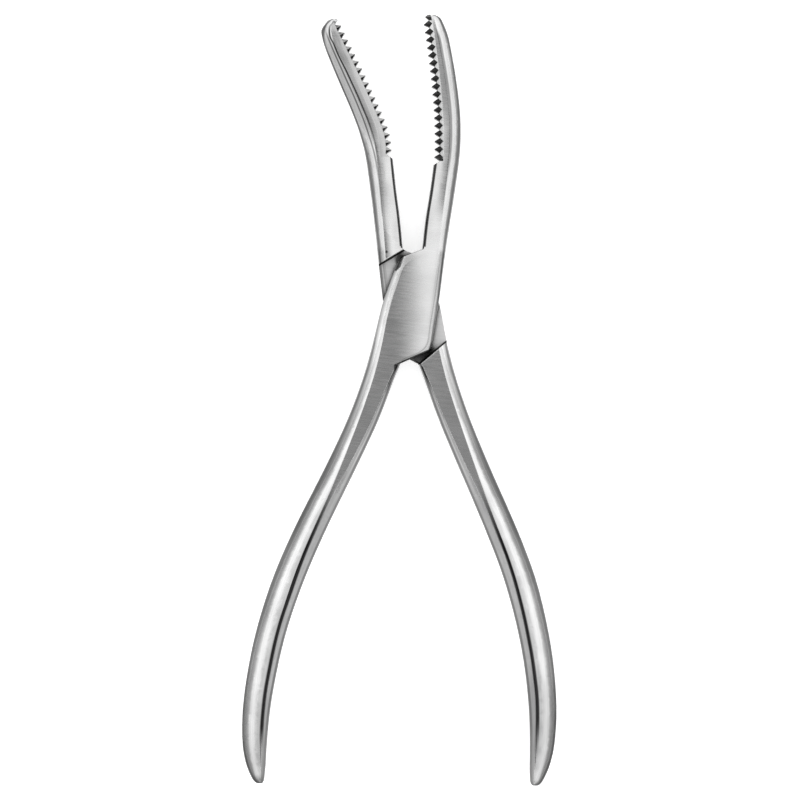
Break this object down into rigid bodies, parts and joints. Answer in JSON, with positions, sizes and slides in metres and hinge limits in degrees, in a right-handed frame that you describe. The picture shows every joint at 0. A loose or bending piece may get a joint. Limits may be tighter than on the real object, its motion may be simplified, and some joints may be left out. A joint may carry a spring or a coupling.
{
  "type": "bone holding forceps",
  "caption": "Hand forceps for gripping bone: two crossed steel levers on a lap joint, with curved toothed jaws above and plain rounded handles below.",
  "frame": {"origin": "on the pivot axis, in the plane of the rear ground faces on which the forceps lies", "axes": "+Y along the middle line between the handles, towards the jaws; +Z along the pivot axis, towards the front face; +X to the right seen from the front"},
  "size_m": [0.0859, 0.211, 0.009],
  "materials": {
    "lever_steel": "polished stainless steel, the ground faces brushed across",
    "screw_steel": "turned stainless steel"
  },
  "bodies": {
    "front": {"front_lever": "lever_steel", "pivot_screw": "screw_steel"},
    "rear": {"rear_lever": "lever_steel"}
  },
  "joints": [
    {"name": "jaw_hinge", "type": "hinge", "parent": "front", "child": "rear", "pos_m": [0, 0, 0], "axis": [0, 0, 1], "range_deg": [-15, 90]}
  ]
}
